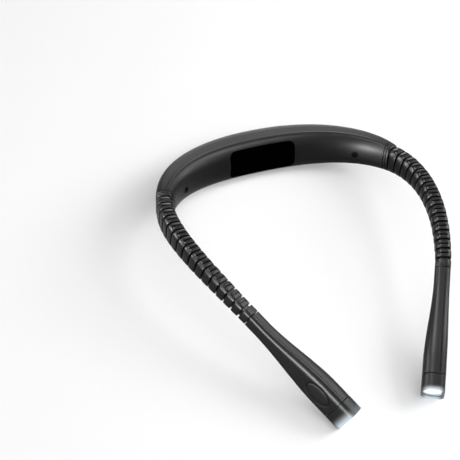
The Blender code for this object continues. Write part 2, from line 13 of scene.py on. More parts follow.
import bmesh
import bpy
from mathutils import Matrix, Vector


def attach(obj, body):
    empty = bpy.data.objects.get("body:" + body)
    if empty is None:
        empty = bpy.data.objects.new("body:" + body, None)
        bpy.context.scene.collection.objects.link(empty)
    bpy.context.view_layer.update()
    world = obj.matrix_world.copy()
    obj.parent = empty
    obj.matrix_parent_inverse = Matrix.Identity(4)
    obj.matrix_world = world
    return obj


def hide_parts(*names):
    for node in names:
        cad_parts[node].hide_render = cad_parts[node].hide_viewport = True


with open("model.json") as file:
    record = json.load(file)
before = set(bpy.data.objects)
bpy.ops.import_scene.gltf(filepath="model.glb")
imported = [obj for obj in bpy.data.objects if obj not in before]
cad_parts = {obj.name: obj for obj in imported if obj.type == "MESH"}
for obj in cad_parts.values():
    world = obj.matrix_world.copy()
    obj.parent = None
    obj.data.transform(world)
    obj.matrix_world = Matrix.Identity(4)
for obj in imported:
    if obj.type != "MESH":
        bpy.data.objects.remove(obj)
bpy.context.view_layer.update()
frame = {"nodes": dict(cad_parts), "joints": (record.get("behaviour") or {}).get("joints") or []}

# %% [markdown]
# ## The camera
#
# A long lens looks down on the light from in front and from its left, so that the near head shows its
# outer face and its narrow top, and the far head shows mostly its top. The place and the lens were
# found by matching the groove ends of both necks, so that nothing has to be nudged later.

# %% Camera
bpy.ops.object.camera_add(
    location=(-0.3775107, -0.4356399, 0.6884078),
    rotation=[math.radians(turn) for turn in (39.7309, -9.9267, -23.2290)],
)
camera = bpy.context.object
camera.name = "camera"
camera.data.sensor_width = 36
camera.data.lens = 108.418
bpy.context.scene.camera = camera
bpy.context.scene.view_settings.view_transform = "Standard"
print("camera", round(camera.location.length, 3), "m away")

# %% [markdown]
# ## Measures of the real light
#
# These are the sizes that the CAD was built from, in metres, with the grooves and the roundings a
# little finer. Every piece is laid out in the band's own frame, where +X runs to the right arm, +Y
# back to the nape and +Z square to the band, and each arm runs forwards along -Y. Two values in
# brackets are those at the band and at the head, and a flank is a share of the height there.

# %% Measures of the necks
clearance, seam = 0.0003, 0.0003
pitch, link_count = 0.0065, 15
groove = 0.00125
half_groove = groove / 2
neck_widths, neck_heights = (0.0057, 0.0050), (0.0086, 0.0048)
neck_flats, neck_inner_flats = (0.0027, 0.0023), (0.0018, 0.0015)
neck_flanks, neck_inner_flanks, neck_low_flank = (0.50, 0.45), (-0.12, 0.22), 0.30
arm_spacing = 0.1672
start_heading = math.radians(21.88)
steady_turn, early_turn, early_grooves = math.radians(1.40), math.radians(5.47), 5.91
start_droop, steady_droop = math.radians(2.73), math.radians(1.896)

Section = namedtuple(
    "Section", "outer outer_flat outer_flank inner inner_flat inner_flank low_flat low_flank brow height"
)
mirror = Matrix.Diagonal((-1, 1, 1, 1))
sides = (("right", 1), ("left", -1))


def mix(start, end, share):
    return start + (end - start) * share


def steps(start, end, count):
    """Evenly spaced values from start to end, both included."""
    return [mix(start, end, step / count) for step in range(count + 1)]


def smooth(share):
    """A share kept between 0 and 1, with a soft start and end."""
    share = min(1.0, max(0.0, share))
    return share * share * (3 - 2 * share)


# %% [markdown]
# ## The line of a neck
#
# A neck is a row of links, each turned a little further round the bend than the one before. The
# heading (seen from above) turns quickly near the band and slowly later on, and the droop grows
# evenly. Walking one pitch at a time along those headings gives every groove its own frame.

# %% Neck line and its sections
def frame_at(point, heading, slope):
    turn = Matrix.Rotation(heading, 4, "Z") @ Matrix.Rotation(-slope, 4, "X")
    return Matrix.Translation(point) @ turn


def neck_heading(place):
    eased = early_turn * early_grooves * (1 - math.exp(-place / early_grooves))
    return start_heading - steady_turn * place - eased


def neck_slope(place):
    return -start_droop - steady_droop * place


def neck_frames():
    """The frame of each link at the groove behind it, then the frame of the last groove."""
    point = Vector((arm_spacing / 2, 0, 0))
    found = []
    for place in range(link_count + 1):
        middle = place + 0.5 if place < link_count else place
        heading = (neck_heading(place) + neck_heading(2 * middle - place)) / 2
        found.append(frame_at(point, heading, neck_slope(middle)))
        point = found[-1] @ Vector((0, -pitch, 0))
    return found


def neck_section(place):
    share = place / link_count
    width, height = mix(*neck_widths, share), mix(*neck_heights, share)
    flat, flank = mix(*neck_flats, share), height * mix(*neck_flanks, share)
    inner_flat, inner_flank = mix(*neck_inner_flats, share), height * mix(*neck_inner_flanks, share)
    low_flank = height * neck_low_flank
    return Section(width, flat, flank, width, inner_flat, inner_flank, inner_flat, low_flank, 0.0, height)


grooves = neck_frames()
print("neck length", round(link_count * pitch, 4))

# %% [markdown]
# ## The resting pose
#
# At rest the light stands on the band's back edge and both mouths, so the band's frame is tipped
# forwards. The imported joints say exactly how: the first two pivots give the frame's origin, and the
# last pivot gives its tilt, by comparing its direction in the band's frame with that in the world.

# %% Where the band's frame lies at rest
pivots = {joint["name"]: Vector(joint["pos_m"]) for joint in frame["joints"]}
origin = (pivots["right_neck_yaw_1"] + pivots["left_neck_yaw_1"]) / 2
reach = grooves[link_count].to_translation()
landed = pivots["right_neck_pitch_8"] - origin
tilt = math.atan2(landed.z, landed.y) - math.atan2(reach.z, reach.y)
rest = Matrix.Translation(origin) @ Matrix.Rotation(tilt, 4, "X")
print("tilt in degrees", round(math.degrees(tilt), 3))

# %% [markdown]
# ## The line of the band
#
# The band carries on backwards from the first grooves and closes in an arch at the nape. Its heading
# runs from the neck's own heading to straight across, and its section swells from the neck's to a
# taller one: boxy and flat at the back, rounded towards the wearer. A share of 0 is the first groove
# and a share of 1 the middle of the nape.

# %% Band line and its sections
band_half_thickness, band_half_height, band_back_radius, band_wall = 0.0095, 0.0128, 0.0030, 0.0019
band_turn_share, band_turn_power, band_swell_power = 0.23, 0.81, 0.78
band_slope, band_sag_radius, band_lift = 0.062, 0.244, 0.0051
band_parting, band_low_parting, band_brow = 0.0017, 0.0057, 0.0015
band_front_flank, band_low_flank = -0.0026, 0.0034
walk_steps = 96


def band_heading(share):
    turned = (1 + band_turn_share) * share**band_turn_power - band_turn_share * share**3
    return mix(start_heading, math.pi / 2, turned)


def band_reach(share):
    """How far the band has come inwards and backwards, in half lengths."""
    step = share / walk_steps
    headings = [band_heading((count + 0.5) * step) for count in range(walk_steps)]
    return sum(map(math.sin, headings)) * step, sum(map(math.cos, headings)) * step


band_half_length = arm_spacing / 2 / band_reach(1)[0]


def band_swell(share):
    return math.sin(share * math.pi / 2) ** band_swell_power


def band_frame(share):
    inwards, backwards = band_reach(share)
    y = backwards * band_half_length
    z = band_slope * y - y * y / (2 * band_sag_radius) + band_lift * band_swell(share)
    return frame_at((arm_spacing / 2 - inwards * band_half_length, y, z), band_heading(share), 0)


def band_section(share):
    swell = band_swell(share)
    start = neck_section(0)
    thick = mix(start.outer, band_half_thickness, swell)
    height = mix(start.height, band_half_height, swell)
    back_flat = thick - mix(start.outer - start.outer_flat, band_back_radius, swell)
    back_flank = height - mix(start.height - start.outer_flank, band_back_radius, swell)
    front_flat = mix(start.inner_flat, band_parting + clearance, swell)
    front_flank = mix(start.inner_flank, band_front_flank, swell)
    low_flat = mix(start.low_flat, band_low_parting + clearance, swell)
    low_flank = mix(start.low_flank, band_low_flank, swell)
    front = (thick, front_flat, front_flank, low_flat, low_flank)
    return Section(thick, back_flat, back_flank, *front, band_brow * swell, height)


def from_middle(distance):
    """The share of the band's half length at a distance from the middle of the nape."""
    return 1 - abs(distance) / band_half_length


def on_band(distance, outside, depth=0.0, drop=0.0):
    """A frame on the band's outer or inner skin, sunk by a depth, whose -Y points out of it."""
    share = from_middle(distance)
    section = band_section(share)
    x, turn = (section.outer - depth, math.pi / 2) if outside else (depth - section.inner, -math.pi / 2)
    return band_frame(share) @ Matrix.Translation((x, 0, -drop)) @ Matrix.Rotation(turn, 4, "Z")


print("band length", round(2 * band_half_length, 4))

# %% [markdown]
# ## The form of a head
#
# A head starts with the neck's slim section and flares towards its mouth, more on the inner side
# than on the outer one. A smooth step between two shares of its length gives the flare.

# %% Head frame and its sections
head_length, head_collar, bezel_length, head_wall, head_rise = 0.0897, 0.0060, 0.0105, 0.0016, 0.0004
head_turn, head_droop = math.radians(4.32), math.radians(3.75)
flare_start_share, flare_end_share = 0.164, 0.765
mouth_height, mouth_outer, mouth_inner = 0.0093, 0.0059, 0.0084
mouth_outer_flat, mouth_inner_flat = 0.0024, 0.0013
mouth_outer_flank, mouth_inner_flank = 0.52, 0.30
mouth_middle = (mouth_outer - mouth_inner) / 2


def head_flare(forward):
    return smooth((forward / head_length - flare_start_share) / (flare_end_share - flare_start_share))


def head_section(forward):
    flare, end = head_flare(forward), neck_section(link_count)
    height = mix(end.height, mouth_height, flare)
    outer, inner = mix(end.outer, mouth_outer, flare), mix(end.inner, mouth_inner, flare)
    outer_flat = mix(end.outer_flat, mouth_outer_flat, flare)
    inner_flat = mix(end.inner_flat, mouth_inner_flat, flare)
    flank = height * mix(neck_flanks[1], mouth_outer_flank, flare)
    inner_corner = (inner_flat, height * mix(neck_inner_flanks[1], mouth_inner_flank, flare))
    return Section(outer, outer_flat, flank, inner, *inner_corner, *inner_corner, 0.0, height)


def head_place():
    turned = Matrix.Rotation(-head_turn, 4, "Z")
    aim = frame_at((0, 0, 0), neck_heading(link_count), neck_slope(link_count) - head_droop)
    return Matrix.Translation(reach) @ turned @ aim


head = head_place()
print("mouth centre", [round(c, 4) for c in rest @ head @ Vector((0, -head_length, 0))])

# %% [markdown]
# ## Outlines
#
# Every section is a rounded rectangle whose corners are quarter ellipses. One function gives half of
# it for the half shells, from an edge on top round to the edge below. Another gives the whole ring
# with its points only on the corners, for solid pieces that are pushed out of a flat disc.

# %% Outlines across a piece, as (outward, upward) pairs
link_steps, mouth_steps, sheet_steps = 6, 8, 9
flat_steps, flank_steps = 3, 8


def corner_path(side, flat, flank, height, count, shrink=0.0):
    """A quarter ellipse, from a corner's flat top down to its side."""
    across, up = side - shrink - flat, height - shrink - flank
    turns = steps(0, math.pi / 2, count)
    return [(flat + across * math.sin(turn), flank + up * math.cos(turn)) for turn in turns]


def below(path):
    """A path's mirror image underneath it, walked back so that the two join."""
    return [(x, -z) for x, z in reversed(path)]


def half_path(side, upper, lower):
    """Half a section, from the parting edge on its top round its side to the one below.

    Upper and lower each give that edge's place and height, then the corner's flat, flank and height.
    """
    quarters = []
    for edge, edge_height, flat, flank, height in (upper, lower):
        top = list(zip(steps(edge, flat, flat_steps), steps(edge_height, height, flat_steps)))[:-1]
        quarters.append(top + corner_path(side, flat, flank, height, sheet_steps))
    wall = [(side, z) for z in steps(upper[3], -lower[3], flank_steps)[1:-1]]
    return quarters[0] + wall + below(quarters[1])


def half_shell(section, outside, parting, low_parting):
    """The outer or inner half of a section; its partings on top and below are measured outwards."""
    height, brow_height = section.height, section.height - section.brow
    if outside:
        corner = (section.outer_flat, section.outer_flank, height)
        upper, lower = (seam / 2 + parting, brow_height, *corner), (seam / 2 + low_parting, height, *corner)
        return half_path(section.outer, upper, lower)
    upper = (seam / 2 - parting, brow_height, section.inner_flat, section.inner_flank, brow_height)
    lower = (seam / 2 - low_parting, height, section.low_flat, section.low_flank, height)
    return [(-x, z) for x, z in half_path(section.inner, upper, lower)]


def whole_path(section, count, shrink=0.0, lift=0.0):
    """The whole section as one ring, drawn in by shrink and raised by lift."""
    outer = corner_path(section.outer, section.outer_flat, section.outer_flank, section.height, count, shrink)
    brow_height = section.height - section.brow
    inner = corner_path(section.inner, section.inner_flat, section.inner_flank, brow_height, count, shrink)
    low = corner_path(section.inner, section.low_flat, section.low_flank, section.height, count, shrink)
    inner += below(low)
    return [(x, z + lift) for x, z in outer + below(outer) + [(-x, z) for x, z in reversed(inner)]]


def oval_path(half_length, half_width, count):
    turns = [math.tau * (step + 0.5) / count for step in range(count)]
    return [(half_length * math.sin(turn), half_width * math.cos(turn)) for turn in turns]


def box_path(half_width, half_height, lift=0.0):
    return [(x * half_width, z * half_height + lift) for x, z in ((-1, 1), (1, 1), (1, -1), (-1, -1))]


# %% [markdown]
# ## Tools for modelling by hand
#
# The pieces are shaped as by hand in edit mode: a flat disc is moved onto an outline, then pushed,
# inset and bevelled. Faces are picked by where their corners lie. Casings are too curved for that,
# so a flat grid is laid over rows of points, given a wall with Solidify and cut with Booleans.

# %% Tools for edit mode
tiny = 0.00002


def deselect():
    bpy.ops.object.select_all(action="DESELECT")


def focus(obj):
    deselect()
    obj.select_set(True)
    bpy.context.view_layer.objects.active = obj


def edit(obj):
    """Enters edit mode with the whole mesh selected."""
    focus(obj)
    bpy.ops.object.mode_set(mode="EDIT")
    bpy.ops.mesh.select_all(action="SELECT")


def leave():
    bpy.ops.object.mode_set(mode="OBJECT")


def choose(obj, kind, test):
    """In edit mode, picks the faces or edges all of whose corners pass a test."""
    bpy.context.tool_settings.mesh_select_mode = (False, kind == "edges", kind == "faces")
    bpy.ops.mesh.select_all(action="DESELECT")
    mesh = bmesh.from_edit_mesh(obj.data)
    for part in getattr(mesh, kind):
        if all(test(corner.co) for corner in part.verts):
            part.select_set(True)
    bmesh.update_edit_mesh(obj.data)


def at(y):
    """A test for corners that lie at this place along the piece."""
    return lambda corner: abs(corner.y - y) < tiny


def push(y):
    bpy.ops.mesh.extrude_region_move(TRANSFORM_OT_translate={"value": (0, y, 0)})


def inset(thickness, depth=0.0):
    bpy.ops.mesh.inset(thickness=thickness, depth=depth)


def push_face(obj, y, margin, depth):
    """Insets the flat end of a piece and pushes what is left of it along the piece."""
    edit(obj)
    choose(obj, "faces", at(y))
    inset(margin)
    push(depth)
    leave()


def tidy(obj, ends_open=False):
    """Merges doubles, closes open ends and turns every face outwards."""
    edit(obj)
    bpy.ops.mesh.remove_doubles(threshold=tiny / 4)
    if ends_open:
        bpy.ops.mesh.fill_holes(sides=0)
        bpy.ops.mesh.select_all(action="SELECT")
    bpy.ops.mesh.normals_make_consistent(inside=False)
    leave()


# %% Tools for new shapes and whole objects
def disc(name, path, y):
    """A filled circle with its corners moved onto a path, facing forwards, along -Y."""
    deselect()
    bpy.ops.mesh.primitive_circle_add(vertices=len(path), radius=pitch, fill_type="NGON")
    obj = bpy.context.object
    obj.name = obj.data.name = name
    for corner, (x, z) in zip(obj.data.vertices, path):
        corner.co = (x, y, z)
    obj.data.update()
    if obj.data.polygons[0].normal.y > 0:
        obj.data.flip_normals()
    return obj


def wrap(name, rows, cores):
    """A flat grid laid over rows of points, its faces turned away from each row's core."""
    deselect()
    across = len(rows[0])
    bpy.ops.mesh.primitive_grid_add(x_subdivisions=across - 1, y_subdivisions=len(rows) - 1, size=1)
    obj = bpy.context.object
    obj.name = obj.data.name = name
    for corner, point in zip(obj.data.vertices, [point for row in rows for point in row]):
        corner.co = point
    obj.data.update()
    facing = 0
    for face in obj.data.polygons:
        row = face.index // (across - 1)
        facing += (face.center - (cores[row] + cores[row + 1]) / 2).dot(face.normal)
    if facing < 0:
        obj.data.flip_normals()
    return obj


def modify(obj, kind, **settings):
    """Adds a modifier, sets it and applies it at once."""
    focus(obj)
    modifier = obj.modifiers.new(kind, kind)
    for name, value in settings.items():
        setattr(modifier, name, value)
    bpy.ops.object.modifier_apply(modifier=modifier.name)


def walled(sheet, wall):
    """Gives an open sheet a wall on its inside."""
    modify(sheet, "SOLIDIFY", thickness=wall, offset=-1)
    tidy(sheet)
    return sheet


def closed_tube(name, rings):
    """Rings joined to one closed solid with flat ends."""
    cores = [sum(ring, Vector()) / len(ring) for ring in rings]
    obj = wrap(name, [ring + ring[:1] for ring in rings], cores)
    tidy(obj, ends_open=True)
    return obj


def soften(obj, width, angle=40):
    """Rounds the sharp edges, so that they catch the light."""
    focus(obj)
    bpy.ops.object.shade_smooth()
    modify(
        obj, "BEVEL", width=width, segments=2, limit_method="ANGLE",
        angle_limit=math.radians(angle), harden_normals=True, use_clamp_overlap=True,
    )


def cut(obj, cutter, operation="DIFFERENCE"):
    modify(obj, "BOOLEAN", object=cutter, operation=operation, solver="EXACT")
    bpy.data.objects.remove(cutter)


def settle(obj, place=None, side=1):
    """Carries a modelled piece to its place on the resting light; side -1 mirrors it."""
    obj.data.transform(rest @ (place or Matrix.Identity(4)))
    if side < 0:
        obj.data.transform(mirror)
        obj.data.flip_normals()
    return obj


def copy_of(master, name):
    piece = master.copy()
    piece.data = master.data.copy()
    piece.name = piece.data.name = name
    bpy.context.scene.collection.objects.link(piece)
    return piece


def triangles(obj):
    return sum(len(face.vertices) - 2 for face in obj.data.polygons)


# %% [markdown]
# ## Shader maths as plain Python
#
# A finish is a small network of nodes. Writing it as arithmetic keeps it readable, so a tiny class
# wraps a socket: adding or multiplying two of them adds the Math node that does it. Every other node
# comes from one method. Patterns read Object coordinates, which here are metres on the real light.

# %% Sockets that can be added and multiplied
class Signal:
    def __init__(self, paint, socket):
        self.paint = paint
        self.socket = socket

    def maths(self, operation, first, second):
        return self.paint.node("ShaderNodeMath", {"operation": operation}, {0: first, 1: second})

    def __add__(self, other):
        return self.maths("ADD", self, other)

    def __sub__(self, other):
        return self.maths("SUBTRACT", self, other)

    def __rsub__(self, other):
        return self.maths("SUBTRACT", other, self)

    def __mul__(self, other):
        return self.maths("MULTIPLY", self, other)

    def __abs__(self):
        return self.maths("ABSOLUTE", self, 0.0)

    __radd__ = __add__
    __rmul__ = __mul__


class Paint:
    """One material: its shader's fixed values, and nodes for what changes over the surface."""

    def __init__(self, name, **fixed):
        self.material = bpy.data.materials.new(name)
        self.material.use_nodes = True
        self.tree = self.material.node_tree
        self.shader = self.tree.nodes["Principled BSDF"]
        self.set(fixed)

    def set(self, values):
        self.feed(self.shader, {name.replace("_", " "): value for name, value in values.items()})

    def feed(self, node, values):
        for name, value in values.items():
            if isinstance(value, Signal):
                self.tree.links.new(value.socket, node.inputs[name])
            else:
                node.inputs[name].default_value = value

    def node(self, kind, settings=None, values=None, output=0):
        made = self.tree.nodes.new(kind)
        for name, value in (settings or {}).items():
            setattr(made, name, value)
        self.feed(made, values or {})
        return Signal(self, made.outputs[output])

    def coordinates(self):
        return self.node("ShaderNodeTexCoord", output="Object")

    def noise(self, size, detail=2.0):
        """Soft noise whose blotches are about this many metres across."""
        values = {"Vector": self.coordinates(), "Scale": 1 / size, "Detail": detail}
        return self.node("ShaderNodeTexNoise", {}, values)

    def clamp(self, value, low, high):
        """A value spread from low..high to 0..1, smoothly."""
        settings = {"interpolation_type": "SMOOTHSTEP"}
        return self.node("ShaderNodeMapRange", settings, {"Value": value, "From Min": low, "From Max": high})

    def blend(self, share, first, second):
        """A colour between two."""
        values = {0: share, 6: (*first, 1), 7: (*second, 1)}
        return self.node("ShaderNodeMix", {"data_type": "RGBA"}, values, 2)

    def colour(self, share, first, second):
        self.set({"Base Color": self.blend(share, first, second)})

    def grain(self, size, depth):
        """Sets a fine moulded grain as bump: its size and its depth are real metres."""
        values = {"Height": self.noise(size, 3.0), "Distance": depth, "Strength": 1.0}
        self.set({"Normal": self.node("ShaderNodeBump", {}, values)})


# %% [markdown]
# ## Moulded plastics and rubber
#
# The casings are satin black plastic from a finely etched mould, and the links and the buttons are
# rubber with a coarser grain. All are nearly black, so what one sees is mostly their gloss: the
# roughness wanders a little over the surface, and the grain breaks the highlights. A low specular
# level keeps the shaded sides deep.

# %% Plastics
cloud_size, touch_size, fleck_size = 0.014, 0.006, 0.0011
blacks = ((0.0025,) * 3, (0.0035,) * 3)
etched = (0.00025, 0.000004)
casing_specular = 0.08


def clouded(name, colours, specular, **fixed):
    """A paint whose colour drifts between two in faint clouds."""
    paint = Paint(name, Specular_IOR_Level=specular, **fixed)
    paint.colour(paint.clamp(paint.noise(cloud_size, 3.0), 0.3, 0.7), *colours)
    return paint


def moulded(name, colours, rough, grain, specular):
    """A moulding with uneven gloss and an etched grain, given by its size and its depth."""
    paint = clouded(name, colours, specular)
    handled = paint.noise(touch_size) * 0.6 + paint.noise(fleck_size) * 0.4
    paint.set({"Roughness": handled * 0.08 + (rough - 0.04)})
    paint.grain(*grain)
    return paint.material


finishes = {
    "casing": moulded("satin_casing", blacks, 0.38, etched, casing_specular),
    "segment": moulded("link_rubber", blacks, 0.34, (0.00035, 0.000008), 0.09),
    "button": moulded("button_rubber", blacks, 0.42, (0.00030, 0.000008), casing_specular),
    "inlay": moulded("panel_film", ((0.0002,) * 3, (0.0004,) * 3), 0.60, (0.00020, 0.000002), 0.0),
}
print("plastics", [material.name for material in finishes.values()])

# %% [markdown]
# ## Metal, board and cell
#
# Small fittings finish the inside: bright plating on the reflector, plated steel for the inlet, a
# blackened screw, a green board with its copper lanes under the lacquer, and the shrink wrap of the
# battery. Each is one shader with a pattern for its colour and its gloss.

# %% Fittings
def plated(name, colour, rough, patch):
    """A metal that is darker and duller in patches about this many metres across."""
    paint = Paint(name, Metallic=1.0)
    worn = paint.clamp(paint.noise(patch, 4.0), 0.35, 0.65)
    paint.colour(worn, colour, tuple(part * 0.82 for part in colour))
    paint.set({"Roughness": worn * 0.10 + rough})
    paint.grain(patch / 4, 0.000002)
    return paint.material


def circuit():
    """A lacquered board, with its copper lanes seen as lighter green stripes."""
    paint = Paint("circuit_lacquer", Specular_IOR_Level=0.5)
    settings = {"wave_type": "BANDS", "bands_direction": "Z"}
    values = {"Vector": paint.coordinates(), "Scale": 420.0, "Distortion": 3.0, "Detail Scale": 0.4}
    lanes = paint.clamp(paint.node("ShaderNodeTexWave", settings, values), 0.55, 0.62)
    paint.colour(lanes, (0.010, 0.075, 0.030), (0.030, 0.150, 0.060))
    paint.set({"Roughness": 0.34 - lanes * 0.08})
    return paint.material


def wrapped_cell():
    """Blue shrink wrap with creases that are a little paler and duller."""
    paint = Paint("cell_wrap", Specular_IOR_Level=0.5)
    creases = paint.clamp(paint.noise(0.003, 4.0), 0.45, 0.60)
    paint.colour(creases, (0.020, 0.045, 0.160), (0.030, 0.065, 0.210))
    paint.set({"Roughness": creases * 0.15 + 0.25})
    paint.grain(0.0015, 0.00003)
    return paint.material


finishes["metal"] = plated("plated_steel", (0.60, 0.60, 0.61), 0.24, 0.0008)
finishes["screw"] = plated("blackened_screw", (0.002, 0.002, 0.002), 0.60, 0.0006)
finishes["reflector"] = plated("bright_plating", (0.88, 0.90, 0.93), 0.06, 0.0030)
finishes["board"] = circuit()
finishes["switch"] = moulded("switch_plastic", ((0.018,) * 3, (0.030,) * 3), 0.45, (0.0002, 0.000004), 0.5)
finishes["cell"] = wrapped_cell()
print("fittings", len(finishes))

# %% [markdown]
# ## Light in the mouths
#
# The lamps are on. The lens glows nearly white in its middle and fades with the distance from it. The
# end cap is black plastic, and its last millimetres get a painted glow: emission that stands in for
# light spilling round the mouth. The painted glow is measured along the head and across it, so each
# side has its own axes, and it covers only the middle of the front edge: across the narrow top of the
# right head, and up and down the outer face of the left.

# %% Glowing finishes, one of each for a mouth
painted_glow_white, glow_fade = (0.66, 0.74, 0.80), 0.0055


def distance_to(paint, centre):
    values = {0: paint.coordinates(), 1: tuple(centre)}
    return paint.node("ShaderNodeVectorMath", {"operation": "DISTANCE"}, values, "Value")


def measured(paint, centre, way):
    """How far a point lies beyond the centre in one direction."""
    values = {0: paint.coordinates(), 1: tuple(way)}
    return paint.node("ShaderNodeVectorMath", {"operation": "DOT_PRODUCT"}, values, "Value") - centre.dot(way)


def lit_lens(name, centre):
    paint = Paint("lens_" + name, Roughness=0.12, Emission_Strength=1.3)
    rim = paint.clamp(distance_to(paint, centre), 0.0010, 0.0080)
    paint.colour(rim, (0.70, 0.74, 0.78), (0.10, 0.12, 0.14))
    paint.set({"Emission Color": paint.blend(rim, (1.0, 1.0, 1.0), (0.26, 0.32, 0.38))})
    paint.grain(0.0006, 0.00002)
    return paint.material


def lit_bezel(name, centre, axis, across, length, reach):
    """A black end cap with a painted glow over its last length, as far as a reach to each side of the centre.
    """
    paint = clouded("end_cap_" + name, blacks, casing_specular, Emission_Strength=1.0)
    front = paint.clamp(measured(paint, centre, axis), -length, 0.0)
    middle = 1 - paint.clamp(abs(measured(paint, centre, across)), reach - glow_fade, reach)
    # Painted glow: the emission runs from black to a cool white towards the middle of the front edge.
    paint.set({"Emission Color": paint.blend(front * front * middle, (0, 0, 0), painted_glow_white)})
    paint.set({"Roughness": paint.noise(touch_size) * 0.08 + 0.36})
    paint.grain(*etched)
    return paint.material


def lit_lamp():
    paint = Paint("lamp_phosphor", Roughness=0.4, Emission_Strength=8.0)
    die = paint.clamp(paint.noise(0.0004), 0.3, 0.7)
    paint.colour(die, (0.90, 0.80, 0.35), (0.95, 0.88, 0.50))
    paint.set({"Emission Color": paint.blend(die, (0.90, 0.96, 1.0), (1.0, 1.0, 1.0))})
    return paint.material


mouth = rest @ head @ Vector((mouth_middle, -head_length, head_rise))
turned = (rest @ head).to_3x3()
forwards, sidewards, upwards = (turned @ Vector(way) for way in ((0, -1, 0), (1, 0, 0), (0, 0, 1)))
over = mirror.to_3x3()
glow_length, glow_reach = 0.0040, 0.0078
left_glow_length, left_glow_reach, left_glow_lift = 0.0078, 0.0100, 0.0006
left_glow = (over @ (mouth + upwards * left_glow_lift), over @ forwards, over @ upwards)
finishes["lens_right"] = lit_lens("right", mouth)
finishes["lens_left"] = lit_lens("left", over @ mouth)
finishes["bezel_right"] = lit_bezel("right", mouth, forwards, sidewards, glow_length, glow_reach)
finishes["bezel_left"] = lit_bezel("left", *left_glow, left_glow_length, left_glow_reach)
finishes["emitter"] = lit_lamp()
print("all finishes", len(finishes))

# %% [markdown]
# ## Handing a piece over
#
# Each finished piece rides on a body of the frame, stands for the CAD node that it replaces, and
# takes one of the script's own finishes. One function says all of it. What the light has on both
# sides is modelled once, and a second function copies it to each side and dresses the copies.

# %% Dressing a piece
made = []
fine_rim, soft_rim = 0.00010, 0.00012


def dress(piece, place, rim, finish, slot, body, *nodes, side=1, angle=40):
    """Places a piece, rounds its edges by a rim, finishes it and says what it is on the light."""
    settle(piece, place, side)
    soften(piece, rim, angle)
    piece.data.materials.clear()
    piece.data.materials.append(finishes[finish])
    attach(piece, body)
    if nodes:
        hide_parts(*nodes)
    made.append(piece)


def dress_both(master, name, place, rim, finish, slot, body, node, angle=40):
    """Copies and dresses a piece on both sides; {} stands for the side's name."""
    for side_name, side in sides:
        labels = [label.format(side_name) for label in (finish, slot, body, node)]
        dress(copy_of(master, name.format(side_name)), place, rim, *labels, side=side, angle=angle)
    print(name.format("each"), triangles(made[-1]), "triangles")
    bpy.data.objects.remove(master)


# %% [markdown]
# ## One link of the neck
#
# The real neck is a rubber sleeve with deep grooves round it and a short slot across the top of each
# rib. One link is a disc in the shape of the section, pushed out in four steps to a block with
# rounded rims: the steps leave rings of corners, which the next cell needs to swell the rib. Its
# front face gets a core that reaches into the next link, and its back face the hollow for it, so no
# light shows through a groove when the neck bends. A rod drawn out sideways cuts the slot.

# %% Model one link
link_middle = link_count / 2
block_end = half_groove - pitch
link_rim, link_pushes = 0.0003, 4
core_inset, core_overlap = 0.0016, 0.0009
core_length = groove + core_overlap
hollow_inset, hollow_depth = 0.0011, 0.0020
slot_reach, slot_radius, slot_depth, slot_height = 0.0030, 0.0005, 0.0019, 0.004


def push_block(obj, start, end, rim, pushes=1):
    """A disc pushed from start to end, with both of its rims rounded."""
    edit(obj)
    for _ in range(pushes):
        push((end - start) / pushes)
    for y in (start, end):
        choose(obj, "edges", at(y))
        bpy.ops.mesh.bevel(offset=rim, segments=3, affect="EDGES")
    leave()


def slot_rod(middle, height):
    """An upright rod over the top of a link, drawn out sideways to the slot's outline."""
    deselect()
    place = (0, middle, height + slot_height / 2 - slot_depth)
    bpy.ops.mesh.primitive_cylinder_add(vertices=24, radius=slot_radius, depth=slot_height, location=place)
    cutter = bpy.context.object
    bpy.ops.object.transform_apply(location=True)
    for corner in cutter.data.vertices:
        if abs(corner.co.x) > tiny:
            corner.co.x += math.copysign(slot_reach, corner.co.x)
    return cutter


link = disc("link", whole_path(neck_section(link_middle), link_steps), -half_groove)
push_block(link, -half_groove, block_end, link_rim, link_pushes)
push_face(link, block_end, core_inset, -core_length)
push_face(link, -half_groove, hollow_inset, -hollow_depth)
tidy(link)
cut(link, slot_rod(-pitch / 2, neck_section(link_middle).height))
print("link", triangles(link), "triangles")

# %% [markdown]
# ## Thirty links
#
# The neck tapers from the band to the head. Each copy of the link is drawn in by the width and the
# height that the neck has at that very place, so the taper runs through the ribs without steps. It
# is drawn in a little more towards its ends, which gives the ribs their soft swell, and leans with
# the neck's bend, so that the grooves stay open on the inside of it. Its sharp edges are rounded
# after that, by the same amount on every link.

# %% Copy the link along both necks
rib_swell, rib_lean = 0.022, 0.9


def draw_in(mesh, place):
    """Shapes a link by the neck's own taper, swell and bend at each of its corners."""
    middle = neck_section(link_middle)
    turned = neck_heading(place) - neck_heading(place + 1)
    for corner in mesh.vertices:
        along = -corner.co.y / pitch - 0.5
        local = neck_section(place + along + 0.5)
        swell = 1 - rib_swell * min(1.0, abs(2 * along * pitch / (pitch - groove))) ** 2
        corner.co.x *= swell * local.outer / middle.outer
        corner.co.z *= swell * local.height / middle.height
        corner.co.y -= (corner.co.x * turned + corner.co.z * steady_droop) * along * rib_lean


for name, side in sides:
    for place in range(link_count):
        number = f"{place + 1:02d}"
        piece = copy_of(link, f"{name}_link_{number}")
        draw_in(piece.data, place)
        names = (f"{name}_segment_{number}", f"{name}_neck_segment_{number}")
        dress(piece, grooves[place], soft_rim, "segment", "segment", *names, side=side)
bpy.data.objects.remove(link)
print("links", len(made), "triangles each", triangles(made[0]))

# %% [markdown]
# ## Band collars
#
# Where a neck meets the band, a rigid collar closes the casing. The band already curves there, so
# the collar is laid out as rings square to that curve: a plug that sits inside the two casings, the
# visible part with a fine ring engraved round it, and a core in front that reaches into the first
# link.

# %% Model the band collars
collar_length, collar_edge, plug_length = 0.0045, 0.00025, 0.0125
ring_place, ring_depth, ring_floor, ring_width = 0.0025, 0.0004, 0.0001, 0.0003
collar_round, collar_core_inset = 0.0006, core_inset * 1.15


